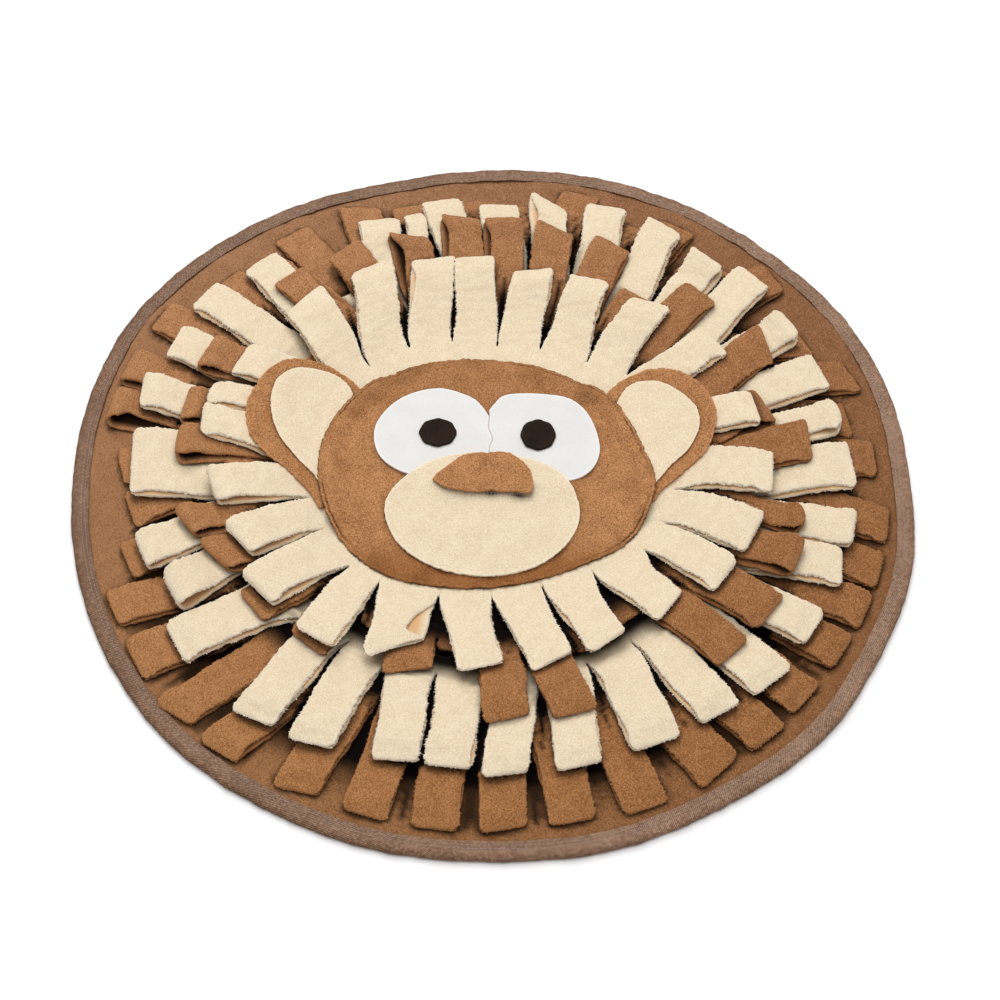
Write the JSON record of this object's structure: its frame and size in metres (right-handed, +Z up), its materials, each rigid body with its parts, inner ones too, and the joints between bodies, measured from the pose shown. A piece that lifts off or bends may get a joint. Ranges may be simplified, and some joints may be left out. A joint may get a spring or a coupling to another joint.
{
  "type": "snuffle mat",
  "caption": "Round fleece snuffle mat with taped edge, lapped rings of folded brown and cream loops, and an animal face with two ears sewn over the middle.",
  "frame": {"origin": "middle of the mat's bounding box in plan, on its flat underside", "axes": "+Z up out of the mat, +X to the right of the face as it is seen, +Y towards the top of the face"},
  "size_m": [0.496, 0.496, 0.0296],
  "materials": {
    "base_fleece": "napped",
    "twill_tape": "twill weave",
    "brown_fleece": "napped",
    "cream_fleece": "pebbled nap",
    "white_felt": "smooth felt",
    "black_felt": "smooth felt"
  },
  "bodies": {
    "root": {"base": "base_fleece", "binding": "twill_tape", "fringe_outer_brown": "brown_fleece", "fringe_outer_cream": "cream_fleece", "fringe_inner_brown": "brown_fleece", "fringe_inner_cream": "cream_fleece", "ear_left": "brown_fleece", "ear_right": "brown_fleece", "inner_ear_left": "cream_fleece", "inner_ear_right": "cream_fleece", "face": "brown_fleece", "eye_left": "white_felt", "eye_right": "white_felt", "pupil_left": "black_felt", "pupil_right": "black_felt", "muzzle": "cream_fleece", "nose": "brown_fleece"}
  },
  "joints": []
}
